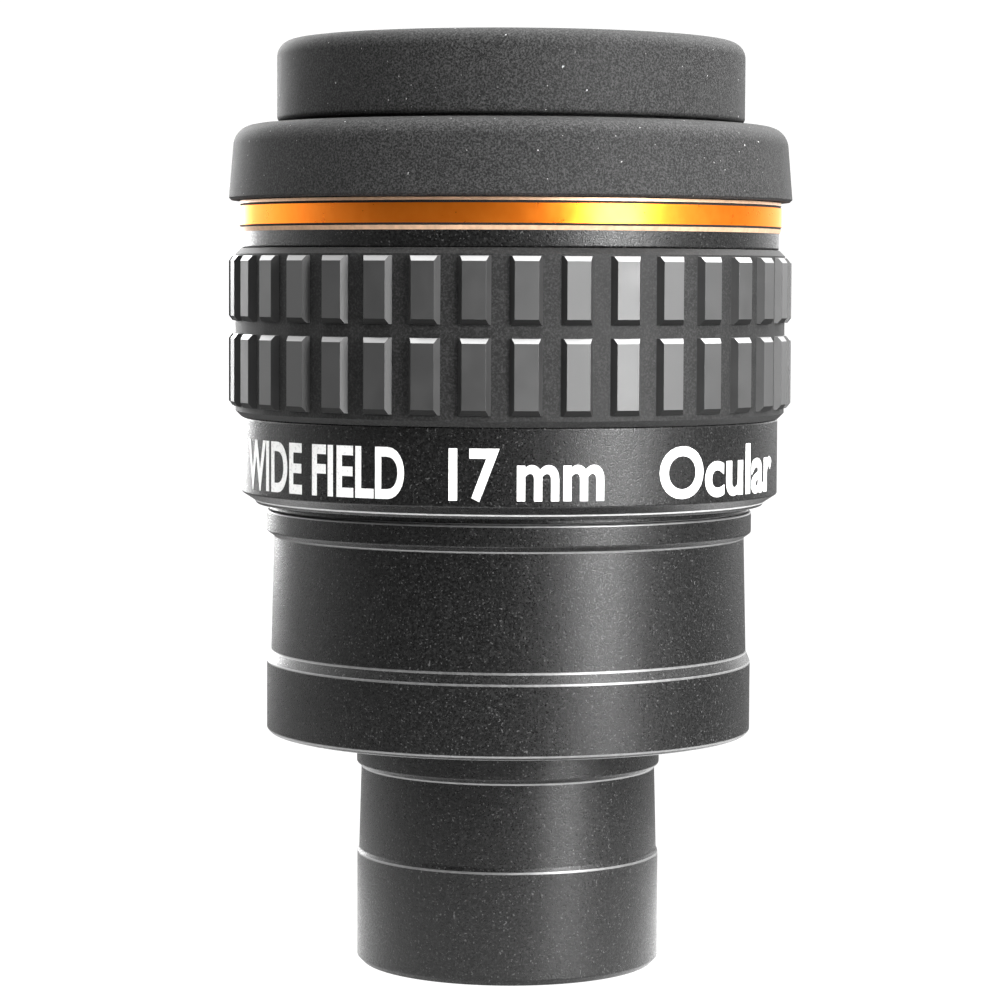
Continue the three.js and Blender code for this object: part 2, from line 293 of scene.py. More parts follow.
# ---- Materials --------------------------------------------------------------------------------
class Surface:
    """A Principled material whose noise is laid in the object's own space, in metres."""

    def __init__(self, name, **settings):
        self.material = bpy.data.materials.new(name)
        self.material.use_nodes = True
        self.tree = self.material.node_tree
        self.shader = next(n for n in self.tree.nodes if n.type == "BSDF_PRINCIPLED")
        self.space = self.node("ShaderNodeTexCoord").outputs["Object"]
        for socket, value in settings.items():
            self.shader.inputs[socket.replace("_", " ")].default_value = value

    def node(self, kind):
        return self.tree.nodes.new(kind)

    def link(self, source, target):
        self.tree.links.new(source, target)

    def noise(self, size, detail=2.0, roughness=0.5):
        """Noise whose features are about this size, in metres."""
        noise = self.node("ShaderNodeTexNoise")
        noise.inputs["Scale"].default_value = 1.0 / size
        noise.inputs["Detail"].default_value = detail
        noise.inputs["Roughness"].default_value = roughness
        self.link(self.space, noise.inputs["Vector"])
        return noise.outputs["Fac"]

    def ramp(self, value, stops):
        """Maps a value to colours, each a grey number or a tuple, at these positions from 0 to 1."""
        ramp = self.node("ShaderNodeValToRGB")
        while len(ramp.color_ramp.elements) < len(stops):
            ramp.color_ramp.elements.new(0.5)
        for element, (position, colour) in zip(ramp.color_ramp.elements, stops):
            element.position = position
            element.color = (*colour, 1.0) if isinstance(colour, tuple) else (colour,) * 3 + (1.0,)
        self.link(value, ramp.inputs["Fac"])
        return ramp.outputs["Color"]

    def spread(self, value, low, high):
        """Maps noise between 0.3 and 0.7 to low and high."""
        mapping = self.node("ShaderNodeMapRange")
        mapping.inputs["From Min"].default_value = 0.3
        mapping.inputs["From Max"].default_value = 0.7
        mapping.inputs["To Min"].default_value = low
        mapping.inputs["To Max"].default_value = high
        self.link(value, mapping.inputs["Value"])
        return mapping.outputs["Result"]

    def mix(self, share, first, second):
        """A blend of two colours, each a tuple or a socket, by a socket's share of the second."""
        mix = self.node("ShaderNodeMix")
        mix.data_type = "RGBA"
        self.link(share, mix.inputs[0])
        for socket, value in ((6, first), (7, second)):  # the node's own numbers for its two colours
            if isinstance(value, bpy.types.NodeSocket):
                self.link(value, mix.inputs[socket])
            else:
                mix.inputs[socket].default_value = (*value, 1.0)
        return mix.outputs[2]

    def bump(self, height, distance, strength=1.0, onto=None):
        """A bump of this depth in metres, on top of another one if that is given."""
        bump = self.node("ShaderNodeBump")
        bump.inputs["Strength"].default_value = strength
        bump.inputs["Distance"].default_value = distance
        self.link(height, bump.inputs["Height"])
        if onto:
            self.link(onto, bump.inputs["Normal"])
        return bump.outputs["Normal"]

    def finish(self, colour, roughness, normal):
        """Links the three to the shader and gives the material."""
        for socket, value in (("Base Color", colour), ("Roughness", roughness), ("Normal", normal)):
            self.link(value, self.shader.inputs[socket])
        return self.material


def grey(value):
    return (value,) * 3


def anodised(base):
    """Bead-blasted black anodising: a fine pitted skin that sparkles where it mirrors the light, with
    painted glints as sparse bright specks in its colour.
    """
    surface = Surface("black_anodised", IOR=1.38)
    fine = surface.noise(0.15 * MM, detail=1, roughness=0.6)
    pits = surface.noise(0.26 * MM, detail=1)
    broad = surface.noise(7 * MM, detail=3)
    dark = surface.mix(surface.spread(broad, 0, 1), grey(base * 0.8), grey(base * 1.2))
    grains = surface.ramp(pits, [(0.45, 0.0), (0.75, 1.0)])
    pitted = surface.mix(grains, dark, grey(base * 6))
    # painted glints: sparse bright specks laid into the colour, standing in for sparkle
    painted_glints = surface.ramp(surface.noise(0.19 * MM, detail=0), [(0.72, 0.0), (0.8, 1.0)])
    return surface.finish(
        surface.mix(painted_glints, pitted, grey(base * 26)),
        surface.spread(fine, 0.22, 0.46),
        surface.bump(fine, 0.03 * MM, 1.0, surface.bump(pits, 0.015 * MM, 0.3)),
    )


def bare_bevel_and_painted_highlight(name, colour, roughness, metallic=0.6):
    """A light thin line on a bevel: bare metal showing through on the trim ring, and a painted highlight
    along the edges of the black parts.
    """
    surface = Surface(name, Metallic=metallic)
    wear = surface.noise(0.6 * MM, detail=3)
    worn = tuple(0.75 * channel for channel in colour)
    return surface.finish(
        surface.mix(surface.spread(wear, 0, 1), worn, colour),
        surface.spread(wear, roughness - 0.05, roughness + 0.08),
        surface.bump(wear, 0.005 * MM, 0.3),
    )


def blackened():
    """Dull black for the inside, where light has to die."""
    surface = Surface("blackened_interior", IOR=1.45)
    grain = surface.noise(0.3 * MM, detail=3)
    return surface.finish(
        surface.ramp(grain, [(0.35, 0.006), (0.7, 0.016)]),
        surface.spread(grain, 0.6, 0.8),
        surface.bump(grain, 0.02 * MM, 0.5),
    )


def eyecup_rubber():
    """Soft rubber with a fine mottled grain and a few specks of dust."""
    surface = Surface("eyecup_rubber", IOR=1.25)
    fine = surface.noise(0.19 * MM, detail=3, roughness=0.7)
    cloudy = surface.noise(4 * MM, detail=4, roughness=0.6)
    base = surface.mix(surface.spread(cloudy, 0, 1), grey(0.007), grey(0.01))
    grain = surface.ramp(fine, [(0.42, 0.0), (0.7, 1.0)])
    mottled = surface.mix(grain, base, grey(0.06))
    dust = surface.ramp(surface.noise(0.3 * MM, detail=0), [(0.85, 0.0), (0.89, 1.0)])
    return surface.finish(
        surface.mix(dust, mottled, grey(0.4)),
        surface.spread(fine, 0.58, 0.74),
        surface.bump(fine, 0.035 * MM, 1.0, surface.bump(cloudy, 0.06 * MM, 0.3)),
    )


def grip_web():
    """The rubber between the pads: matt, with a fine moulded texture."""
    surface = Surface("grip_web", IOR=1.32)
    fine = surface.noise(0.22 * MM, detail=4, roughness=0.6)
    cloudy = surface.noise(1.6 * MM, detail=3)
    base = surface.mix(surface.spread(cloudy, 0, 1), grey(0.007), grey(0.011))
    grain = surface.ramp(fine, [(0.44, 0.0), (0.74, 0.8)])
    return surface.finish(
        surface.mix(grain, base, grey(0.045)),
        surface.spread(fine, 0.55, 0.7),
        surface.bump(fine, 0.04 * MM, 0.5),
    )


def grip_pad(name, base, ior, roughness):
    """The pads: the same rubber from a polished mould, smooth and a little glossy; its copies for the end
    tops, sides and undersides differ only as painted highlight and painted shade.
    """
    surface = Surface(name, IOR=ior)
    soft = surface.noise(2.5 * MM, detail=2)
    return surface.finish(
        surface.mix(surface.spread(soft, 0, 1), grey(base * 0.88), grey(base * 1.12)),
        surface.spread(soft, roughness - 0.03, roughness + 0.03),
        surface.bump(surface.noise(0.5 * MM, detail=2), 0.01 * MM, 0.2),
    )


def amber_anodised():
    """Amber dye over polished aluminium, very slightly uneven, under a clear sealed skin."""
    surface = Surface("amber_anodised", Metallic=0.88, Coat_Weight=0.2, Coat_Roughness=0.22)
    surface.shader.inputs["Specular Tint"].default_value = (1.0, 0.6, 0.05, 1.0)
    uneven = surface.noise(1.2 * MM, detail=3)
    return surface.finish(
        surface.mix(surface.spread(uneven, 0, 1), (0.97, 0.22, 0.012), (1.0, 0.25, 0.018)),
        surface.spread(uneven, 0.27, 0.31),
        surface.bump(surface.noise(0.5 * MM, detail=2), 0.002 * MM, 0.2),
    )


def white_ink():
    """White paint of the raised letters, a little worn."""
    surface = Surface("white_lettering", IOR=1.45)
    wear = surface.noise(0.25 * MM, detail=3, roughness=0.6)
    return surface.finish(
        surface.ramp(wear, [(0.3, 0.62), (0.46, (0.9, 0.9, 0.89))]),
        surface.spread(wear, 0.45, 0.6),
        surface.bump(wear, 0.01 * MM, 0.4),
    )


def coated_glass():
    """Optical glass with a multi-coating that shows green and violet where it mirrors the room."""
    surface = Surface(
        "coated_glass",
        Base_Color=(0.93, 0.97, 0.94, 1.0),
        Roughness=0.0,
        IOR=1.52,
        Transmission_Weight=1.0,
        Thin_Film_Thickness=310.0,
        Thin_Film_IOR=1.38,
    )
    return surface.material


BLACK = anodised(0.0025)
# painted highlight lines for the black metal's bevels and for the body's foot
PAINTED_HIGHLIGHT_EDGE = bare_bevel_and_painted_highlight("painted_highlight_edge", grey(0.2), 0.4)
PAINTED_HIGHLIGHT_FOOT = bare_bevel_and_painted_highlight("painted_highlight_foot", grey(0.5), 0.5, metallic=0.2)
INSIDE = blackened()
RUBBER = eyecup_rubber()
WEB = grip_web()
PAD = grip_pad("grip_pad", 0.022, 1.72, 0.5)
# lit and shaded copies of the pad rubber: the top end bevels more reflective as a painted highlight, the
# sides and undersides darker as painted shade
PAD_PAINTED_HIGHLIGHT_TOP = grip_pad("grip_pad_painted_highlight_top", 0.02, 2.3, 0.32)
PAD_PAINTED_SHADE_SIDES = grip_pad("grip_pad_painted_shade_sides", 0.02, 1.5, 0.5)
PAD_PAINTED_SHADE_UNDER = grip_pad("grip_pad_painted_shade_under", 0.003, 1.3, 0.6)
AMBER = amber_anodised()
PALE_BEVEL = bare_bevel_and_painted_highlight("pale_bevel", (0.85, 0.55, 0.36), 0.4, metallic=0.5)
INK = white_ink()
GLASS = coated_glass()

# ---- Nosepiece and 2 inch barrel ---------------------------------------------------------------
EDGE = 0.24 * MM  # the usual broken edge on turned metal
UNDERCUT = {"sharpest": 6, "least": 0.12 * MM}  # also rounds the shallow ramps of a safety undercut
METAL = [BLACK, PAINTED_HIGHLIGHT_EDGE, INSIDE]
FILTER_THREAD = {"pitch": 0.6 * MM, "depth": 0.3 * MM}  # M28.5 in the nosepiece
FLANGE_THREAD = {"pitch": 0.75 * MM, "depth": 0.42 * MM}  # M48 between nosepiece and barrel
PHOTO_THREAD = {"pitch": 0.75 * MM, "depth": 0.42 * MM}  # M43 and M54 under the eyecup
NOSE_THREAD_R = 14.0 * MM
NOSE_THREAD_TOP = 5.1 * MM
NOSE_BAFFLES = {"radius": 13.3 * MM, "low": 5.6 * MM, "high": 16.3 * MM}
NOSE_BAFFLES |= {"pitch": 0.9 * MM, "depth": 0.35 * MM}
NOSE_DULL = ((-1 * MM, 1 * MM), (11.8 * MM, 12.4 * MM), (20.9 * MM, 21.6 * MM))  # edges without the painted highlight line
BARREL_THREAD_R = 23.9 * MM
BARREL_THREAD_TOP = 29.3 * MM
BARREL_BAFFLES = {"radius": 22.9 * MM, "low": 30.5 * MM, "high": 49.4 * MM}
BARREL_BAFFLES |= {"pitch": 1.1 * MM, "depth": 0.4 * MM}
BARREL_DULL = ((45.2 * MM, 45.9 * MM), (47.78 * MM, 49.5 * MM))


def build_nosepiece():
    low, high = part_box("nose_barrel")
    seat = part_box("barrel_two_inch")[0].z
    outline = rounded(section("nose_barrel"), EDGE, **UNDERCUT)
    outline = grooved(outline, **NOSE_BAFFLES)
    outline = threaded(outline, NOSE_THREAD_R, low.z + 0.5 * MM, NOSE_THREAD_TOP, **FILTER_THREAD)
    outline = threaded(outline, high.x, seat + 0.3 * MM, high.z, **FLANGE_THREAD)
    finish = metal_finish(NOSE_THREAD_R + 0.2 * MM, dull=NOSE_DULL)
    piece = lathe("nosepiece_shell", outline, METAL, kind_of=finish)
    place(piece, "nosepiece", "black_anodised", "nose_barrel")


def build_barrel():
    low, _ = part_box("barrel_two_inch")
    outline = rounded(section("barrel_two_inch"), EDGE, **UNDERCUT)
    outline = grooved(outline, **BARREL_BAFFLES)
    outline = threaded(outline, BARREL_THREAD_R, low.z + 0.2 * MM, BARREL_THREAD_TOP, **FLANGE_THREAD)
    finish = metal_finish(BARREL_THREAD_R + 0.3 * MM, dull=BARREL_DULL)
    piece = lathe("barrel_two_inch_shell", outline, METAL, kind_of=finish)
    place(piece, "main_body", "black_anodised", "barrel_two_inch")


# ---- Body, trim ring and collar ----------------------------------------------------------------
BODY_BORE = 25.7 * MM  # everything inside this radius is blackened
BODY_DULL = ((48 * MM, 48.6 * MM), (49.2 * MM, 90 * MM))
RING_OVER_BODY = 28.07 * MM  # inner radius of the trim ring's lower bevel, clear of the body
RING_OVER_COLLAR = 27.95 * MM  # and of its upper bevel, clear of the thread collar
OUTER_THREAD = {"radius": 27.0 * MM, "low": 80.0 * MM, "high": 85.4 * MM}  # M54
INNER_THREAD = {"radius": 21.5 * MM, "low": 85.9 * MM, "high": 89.8 * MM}  # M43
COLLAR_BORE = 21.2 * MM
ALL_DULL = ((0, CAD_BOX[1].z),)


def build_body():
    outline = rounded(section("body_shell"), EDGE, **UNDERCUT)
    finish = metal_finish(BODY_BORE, dull=BODY_DULL)
    piece = lathe("body_housing", outline, [BLACK, PAINTED_HIGHLIGHT_FOOT, INSIDE], kind_of=finish)
    place(piece, "main_body", "black_anodised", "body_shell")


def build_trim_ring():
    """A band between two pale bevels, each set off from it by a fine step painted black as shade."""
    low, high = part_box("trim_ring")
    face = high.x
    inner = min(corner[0] for corner in section("trim_ring"))
    lower = [(0, -0.5), (0.04, -0.52)]  # the lower bevel's inner end, mm out from the body and up
    upper_bevel = 0.35 * MM  # its height
    foot = [(-0.03, -0.08), (-0.12, -0.03), (-0.1, 0.05), (0, 0.15)]  # its outer end and the step
    head = [(0, -0.2), (-0.1, -0.1), (-0.14, 0), (-0.03, 0.05)]  # the step over the band

    def shifted(offsets, radius, height):
        return [(radius + out * MM, height + up * MM) for out, up in offsets]

    outline = [(inner, low.z), (RING_OVER_BODY, low.z)] + shifted(lower, RING_OVER_BODY, low.z)
    outline += shifted(foot, face, low.z) + shifted(head, face, high.z)
    outline += [(face - 0.06 * MM, high.z + upper_bevel), (RING_OVER_COLLAR, high.z + upper_bevel)]
    outline += [(RING_OVER_COLLAR, high.z), (inner, high.z)]

    def kind_of(corner, after):
        """0 the amber band, 1 the pale bevels, 2 the steps between them, painted black as shade."""
        bottom, top = sorted((corner[1], after[1]))
        if bottom > high.z + 0.04 * MM or top < low.z - 0.06 * MM:
            return 1
        return 0 if top - bottom > 1 * MM else 2

    # the steps take the blackened interior material as painted shade
    piece = lathe("amber_trim_ring", outline, [AMBER, PALE_BEVEL, INSIDE], kind_of=kind_of)
    place(piece, "main_body", "amber_anodised", "trim_ring")


def build_collar():
    outline = rounded(section("thread_collar"), EDGE)
    outline = threaded(outline, **OUTER_THREAD, **PHOTO_THREAD)
    outline = threaded(outline, **INNER_THREAD, **PHOTO_THREAD)
    finish = metal_finish(COLLAR_BORE, dull=ALL_DULL)
    piece = lathe("photo_thread_collar", outline, METAL, kind_of=finish)
    place(piece, "main_body", "black_anodised", "thread_collar")


# ---- Grip band ---------------------------------------------------------------------------------
PADS = 36  # in each row
PAD_PHASE = math.radians(3)
WEB_R = 28.7 * MM
PAD_R = 29.37 * MM
PAD_LEDGE_R = 28.98 * MM  # where a pad's end bevel stops and its short wall drops to the web
PAD_ROOT = 3.19 * MM  # width where it meets the web
PAD_SIDE = 0.42 * MM  # width of the bevel on each side
PAD_END = 0.5 * MM  # height of the bevel at each end
PAD_ROWS = ((58.56 * MM, 66.04 * MM), (67.39 * MM, 74.05 * MM))
GRIP_BORE = 27.35 * MM
GRIP_SKINS = [WEB, PAD, PAD_PAINTED_HIGHLIGHT_TOP, PAD_PAINTED_SHADE_SIDES, PAD_PAINTED_SHADE_UNDER]
ON_WEB, ON_FACE, ON_TOP, ON_SIDE, ON_UNDERSIDE = range(5)  # places in GRIP_SKINS


def grip_heights(low, high):
    """The band's rows of vertices from bottom to top: (height, web radius, pad radius or none)."""
    chamfer = 0.6 * MM
    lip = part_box("body_shell")[1].x + 0.05 * MM
    step = 0.04 * MM
    rows = [(low, lip, None), (low + chamfer, WEB_R, None)]
    for foot, head in PAD_ROWS:
        rows += [(foot - step, WEB_R, None), (foot, WEB_R, PAD_LEDGE_R), (foot + PAD_END, WEB_R, PAD_R)]
        rows += [(head - PAD_END, WEB_R, PAD_R), (head, WEB_R, PAD_LEDGE_R), (head + step, WEB_R, None)]
    return rows + [(high - chamfer, WEB_R, None), (high, lip, None)]


def build_grip():
    """One skin over web and pads, closed by a smooth bore, then with its edges softly rounded."""
    low, high = (corner.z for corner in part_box("grip_band"))
    least_lift = 0.12  # so that a pad's short end walls lean in a little
    root = PAD_ROOT / 2
    root_turn = math.asin(root / WEB_R)
    gap = math.tau / PADS - 2 * root_turn
    columns = []  # (middle of its pad, turn from there on the web, share of the pad's half width)
    for i in range(PADS):
        middle = -math.pi / 2 + PAD_PHASE + i * math.tau / PADS
        columns.append((middle, -root_turn, None))
        columns += [(middle, None, share) for share in (-1, -1 / 3, 1 / 3, 1)]
        columns += [(middle, root_turn + gap * share, None) for share in (0, 1 / 3, 2 / 3)]
    vertices, rings = [], []

    def add_ring(height, web, pad):
        rings.append(len(vertices))
        lift = ((pad or WEB_R) - WEB_R) / (PAD_R - WEB_R)
        half = root - PAD_SIDE * max(lift, least_lift)
        for middle, turn, share in columns:
            if share is None:
                radius, angle = web, middle + turn
            else:
                angle = middle + math.atan2(share * half, pad or web)
                radius = math.hypot(pad, share * half) if pad else web
            vertices.append((radius * math.cos(angle), radius * math.sin(angle), height))

    rows = grip_heights(low, high)
    for row in rows:
        add_ring(*row)
    add_ring(high, GRIP_BORE, None)
    add_ring(low, GRIP_BORE, None)
    count = len(columns)
    faces, kinds = [], []
    heads = [row for _, head in PAD_ROWS for row in (head - PAD_END, head)]
    for i, here in enumerate(rings):
        there = rings[(i + 1) % len(rings)]
        pads = [row[2] for row in rows[i : i + 2]]
        # top end bevels take the painted-highlight copy; foot bevels and sides take the painted-shade copies
        middle_kind = ON_FACE
        if PAD_LEDGE_R in pads:
            middle_kind = ON_TOP if rows[i][0] in heads else ON_UNDERSIDE
        for j in range(count):
            k = (j + 1) % count
            faces.append((here + j, here + k, there + k, there + j))
            raised = [columns[c][2] is not None for c in (j, k)]
            if not any(pads) or not any(raised):
                kinds.append(ON_WEB)
            else:
                kinds.append(middle_kind if all(raised) else ON_SIDE)
    piece = piece_of("rubber_grip", vertices, faces, GRIP_SKINS, kinds)
    soft = piece.modifiers.new("moulded_edges", "BEVEL")
    soft.width = 0.06 * MM
    soft.segments = 2
    soft.limit_method = "ANGLE"
    soft.angle_limit = math.radians(24)
    piece.modifiers.move(1, 0)  # before the normals are weighted
    place(piece, "main_body", "grip_rubber", "grip_band")


# ---- Lettering ---------------------------------------------------------------------------------
LETTER_FOOT = 50.4 * MM
LETTER_SUNK = 0.03 * MM  # into the body
LETTER_DEPTH = 0.06 * MM  # in all
LETTER_STRIP = 0.35 * MM  # width of the strips that let a letter bend
BOLDER = 0.024  # offset of the letters' outlines, in the font's own units
FONT_CAP = 0.729  # a capital's height in the font's own units
CAP_HEIGHT = 5.1 * MM
WORDS = (  # text, angle of its middle round the body, width along the body
    ("WIDE FIELD", math.radians(-47), 24.8 * MM),
    ("17 mm", math.radians(3.4), 15.4 * MM),
    ("Ocular", math.radians(52.5), 20.4 * MM),
)


def build_lettering():
    """White letters wrapped round the body, standing just proud of it."""
    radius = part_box("body_shell")[1].x
    for number, (text, middle, width) in enumerate(WORDS):
        curve = bpy.data.curves.new(f"letters_{number}", "FONT")
        curve.body = text
        curve.align_x = "CENTER"
        curve.size = 1.0
        curve.offset = BOLDER
        curve.resolution_u = 6
        flat = bpy.data.objects.new(f"flat_letters_{number}", curve)
        bpy.context.scene.collection.objects.link(flat)
        graph = bpy.context.evaluated_depsgraph_get()
        flat_mesh = bpy.data.meshes.new_from_object(flat.evaluated_get(graph))
        bpy.data.objects.remove(flat)
        piece = wrapped(f"lettering_{number}", flat_mesh, middle, width, radius)
        place(piece, "main_body", "white_lettering")


def wrapped(name, flat, middle, width, radius):
    """Flat text, scaled to its width and cap height, cut into strips and bent round the body."""
    work = bmesh.new()
    work.from_mesh(flat)
    xs = [v.co.x for v in work.verts]
    stretch = width / (max(xs) - min(xs))
    tall = CAP_HEIGHT / FONT_CAP
    centre = (max(xs) + min(xs)) / 2
    for vertex in work.verts:
        vertex.co.x = (vertex.co.x - centre) * stretch
        vertex.co.y *= tall
        vertex.co.z = 0
    cuts = int(width / 2 / LETTER_STRIP)
    for k in range(-cuts, cuts + 1):
        everything = work.verts[:] + work.edges[:] + work.faces[:]
        bmesh.ops.bisect_plane(work, geom=everything, plane_co=(k * LETTER_STRIP, 0, 0), plane_no=(1, 0, 0))
    skin = bmesh.ops.extrude_face_region(work, geom=work.faces[:])
    for item in skin["geom"]:
        if isinstance(item, bmesh.types.BMVert):
            item.co.z = LETTER_DEPTH
    bmesh.ops.recalc_face_normals(work, faces=work.faces[:])
    for vertex in work.verts:
        angle = middle + vertex.co.x / radius - math.pi / 2
        reach = radius - LETTER_SUNK + vertex.co.z
        height = LETTER_FOOT + vertex.co.y
        vertex.co = (reach * math.cos(angle), reach * math.sin(angle), height)
    mesh = bpy.data.meshes.new(name)
    work.to_mesh(mesh)
    work.free()
    mesh.materials.clear()
    mesh.materials.append(INK)
    piece = bpy.data.objects.new(name, mesh)
    bpy.context.scene.collection.objects.link(piece)
    piece.data.shade_smooth()
    piece.data.set_sharp_from_angle(angle=math.radians(30))
    return piece


# ---- Optics ------------------------------------------------------------------------------------
LENSES = {
    "field_lens_lower": "nosepiece",
    "field_lens_upper": "nosepiece",
    "collector_lens_lower": "main_body",
    "collector_lens_upper": "main_body",
    "centre_lens_lower": "main_body",
    "centre_lens_upper": "main_body",
    "inner_eye_lens": "main_body",
    "outer_eye_lens": "main_body",
}
INNER_RINGS = {
    "field_lens_retainer": "nosepiece",
    "lens_cell": "main_body",
    "field_stop": "main_body",
    "collector_spacer": "main_body",
    "centre_spacer": "main_body",
    "eye_spacer": "main_body",
    "eye_lens_retainer": "main_body",
}
RING_EDGE = 0.1 * MM  # the broken edge of the small rings
SLOT_WIDTH = 1.6 * MM
SLOT_DEPTH = 0.8 * MM
SLOT_DRAFT = 0.02 * MM  # how far a slot's wall leans
LENS_BEVEL = 0.15 * MM


def lens_outline(node):
    """A lens outline with its two faces as true arcs, drawn through the CAD section's points."""
    corners = section(node)
    near = 0.001 * MM
    rim = max(p[0] for p in corners)
    edge = sorted(p[1] for p in corners if abs(p[0] - rim) < near)
    poles = sorted(p[1] for p in corners if p[0] < near)
    steps = 40

    def arc(pole, end):
        sag = end - pole
        if abs(sag) < near:
            return [(rim * k / steps, pole) for k in range(steps + 1)]
        ball = (rim * rim + sag * sag) / (2 * abs(sag))
        side = math.copysign(1, sag)
        return [
            (r, pole + side * (ball - math.sqrt(ball * ball - r * r)))
            for r in ((rim - LENS_BEVEL) * k / steps for k in range(steps + 1))
        ]

    under, over = arc(poles[0], edge[0]), arc(poles[-1], edge[-1])
    return under + [(rim, under[-1][1] + LENS_BEVEL), (rim, over[-1][1] - LENS_BEVEL)] + over[::-1]


def build_lenses():
    for node, body in LENSES.items():
        outline = lens_outline(node)
        rim = max(p[0] for p in outline)

        def kind_of(corner, after, rim=rim):
            """0 glass, 1 the blackened edge."""
            return 1 if max(corner[0], after[0]) > rim - 0.01 * MM else 0

        piece = lathe(f"{node}_glass", outline, [GLASS, INSIDE], sides=LENS_SIDES, kind_of=kind_of)
        place(piece, body, "coated_glass", node)


def build_inner_rings():
    for node, body in INNER_RINGS.items():
        if "retainer" in node:
            piece = slotted_ring(node)
        else:
            outline = rounded(section(node), RING_EDGE, steps=2)
            piece = lathe(f"{node}_turned", outline, [INSIDE], sides=RING_SIDES)
        place(piece, body, "blackened_interior", node)


def slotted_ring(node):
    """A lens retaining ring with its outer edges broken and two spanner slots across its top."""
    corners = section(node)
    inner, outer = min(p[0] for p in corners), max(p[0] for p in corners)
    low, high = min(p[1] for p in corners), max(p[1] for p in corners)
    half = SLOT_WIDTH / 2
    floor = half - SLOT_DRAFT
    steps = 90  # between the slots
    columns = []  # (which slot or none, distance from the slot's middle or else the angle, top)
    for slot in (0, 1):
        columns += [(slot, -half, high), (slot, -floor, high - SLOT_DEPTH)]
        columns += [(slot, floor, high - SLOT_DEPTH), (slot, half, high)]
        start = math.asin(half / inner) + slot * math.pi
        reach = math.pi - 2 * math.asin(half / inner)
        columns += [(None, start + reach * (k + 0.5) / steps, high) for k in range(steps)]
    vertices = []
    for slot, across, top in columns:
        profile = [(inner, low), (outer, low), (outer, top - RING_EDGE), (outer - RING_EDGE, top)]
        profile += [(inner + RING_EDGE, top), (inner, top - RING_EDGE)]
        for radius, height in profile:
            angle = across if slot is None else math.asin(across / radius) + slot * math.pi
            vertices.append((radius * math.cos(angle), radius * math.sin(angle), height))
    count, around = len(columns), len(profile)
    faces = []
    for i in range(count):
        here, there = around * i, around * ((i + 1) % count)
        for k in range(around):
            after = (k + 1) % around
            faces.append((here + k, there + k, there + after, here + after))
    return piece_of(f"{node}_slotted", vertices, faces, [INSIDE])


# ---- Eyecup ------------------------------------------------------------------------------------
def arc_points(centre, radius, start, stop, steps):
    """Points on an arc in the half plane, between two angles in degrees."""
    return [
        (
            centre[0] + radius * math.cos(math.radians(start + (stop - start) * k / steps)),
            centre[1] + radius * math.sin(math.radians(start + (stop - start) * k / steps)),
        )
        for k in range(steps + 1)
    ]


def subdivided(outline, longest):
    """The outline with its long sides split, none longer than `longest`."""
    made = []
    for i, corner in enumerate(outline):
        after = outline[(i + 1) % len(outline)]
        parts = max(1, math.ceil(math.dist(corner, after) / longest))
        for k in range(parts):
            share = k / parts
            made.append(tuple(a + (b - a) * share for a, b in zip(corner, after)))
    return made


RUBBER_STEP = 0.8 * MM  # the longest side of the skirt's and the fold's outlines
WALL_STEP = 0.6 * MM
WALL_IN = 21.75 * MM
WALL_OUT = 22.85 * MM
WALL_FOOT = 89.0 * MM  # where the inner wall begins
WALL_TOP = 95.6 * MM
SKIRT_BORE = 27.25 * MM  # where it grips the collar
SKIRT_WEB = 86.0 * MM  # underside of the deck
SKIRT_DECK = 87.6 * MM
SKIRT_SHOULDER_R = 28.95 * MM
SKIRT_ROUND = 2.2 * MM
FOLD_BORE = 23.05 * MM
FOLD_WEB = 95.5 * MM  # underside of the fold's top
FOLD_ROUND = 1.7 * MM
LIP_ROUND = 0.5 * MM


def build_eyecup_skirt():
    low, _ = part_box("eyecup_skirt")
    foot_r = -low.y
    edge = 0.25 * MM
    shoulder = (SKIRT_SHOULDER_R - SKIRT_ROUND, SKIRT_DECK - SKIRT_ROUND)
    skirt = [(SKIRT_BORE, low.z + 0.3 * MM), (SKIRT_BORE + edge, low.z), (foot_r - edge, low.z)]
    skirt += [(foot_r, low.z + edge)] + arc_points(shoulder, SKIRT_ROUND, 3, 90, 12)
    skirt += [(WALL_OUT + 0.5 * MM, SKIRT_DECK), (WALL_OUT, SKIRT_DECK + 0.4 * MM), (WALL_OUT, WALL_FOOT)]
    skirt += [(WALL_IN, WALL_FOOT), (WALL_IN, SKIRT_WEB), (SKIRT_BORE, SKIRT_WEB)]
    piece = lathe("eyecup_skirt_rubber", subdivided(skirt, RUBBER_STEP), [RUBBER])
    place(piece, "eyecup", "eyecup_rubber", "eyecup_skirt")


def build_eyecup_wall():
    """The inner wall, between the skirt and the fold."""
    wall = [(WALL_IN, WALL_FOOT), (WALL_OUT, WALL_FOOT), (WALL_OUT, WALL_TOP), (WALL_IN, WALL_TOP)]
    piece = lathe("eyecup_inner_wall", subdivided(wall, WALL_STEP), [RUBBER])
    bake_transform(piece)


def build_eyecup_fold():
    low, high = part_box("eyecup_fold")
    rim_r = -low.y
    edge = 0.2 * MM
    fold = [(FOLD_BORE, low.z + edge), (FOLD_BORE + edge, low.z)]
    fold += arc_points((rim_r - LIP_ROUND, low.z + LIP_ROUND), LIP_ROUND, -90, 0, 8)
    fold += arc_points((rim_r - FOLD_ROUND, high.z - FOLD_ROUND), FOLD_ROUND, 0, 82, 12)
    fold += arc_points((WALL_IN + LIP_ROUND, high.z - 0.55 * MM), LIP_ROUND, 96, 180, 6)
    fold += [(WALL_IN, FOLD_WEB), (FOLD_BORE, FOLD_WEB)]
    piece = lathe("eyecup_folded_wall", subdivided(fold, RUBBER_STEP), [RUBBER])
    place(piece, "eyecup_rim", "eyecup_rubber", "eyecup_fold")


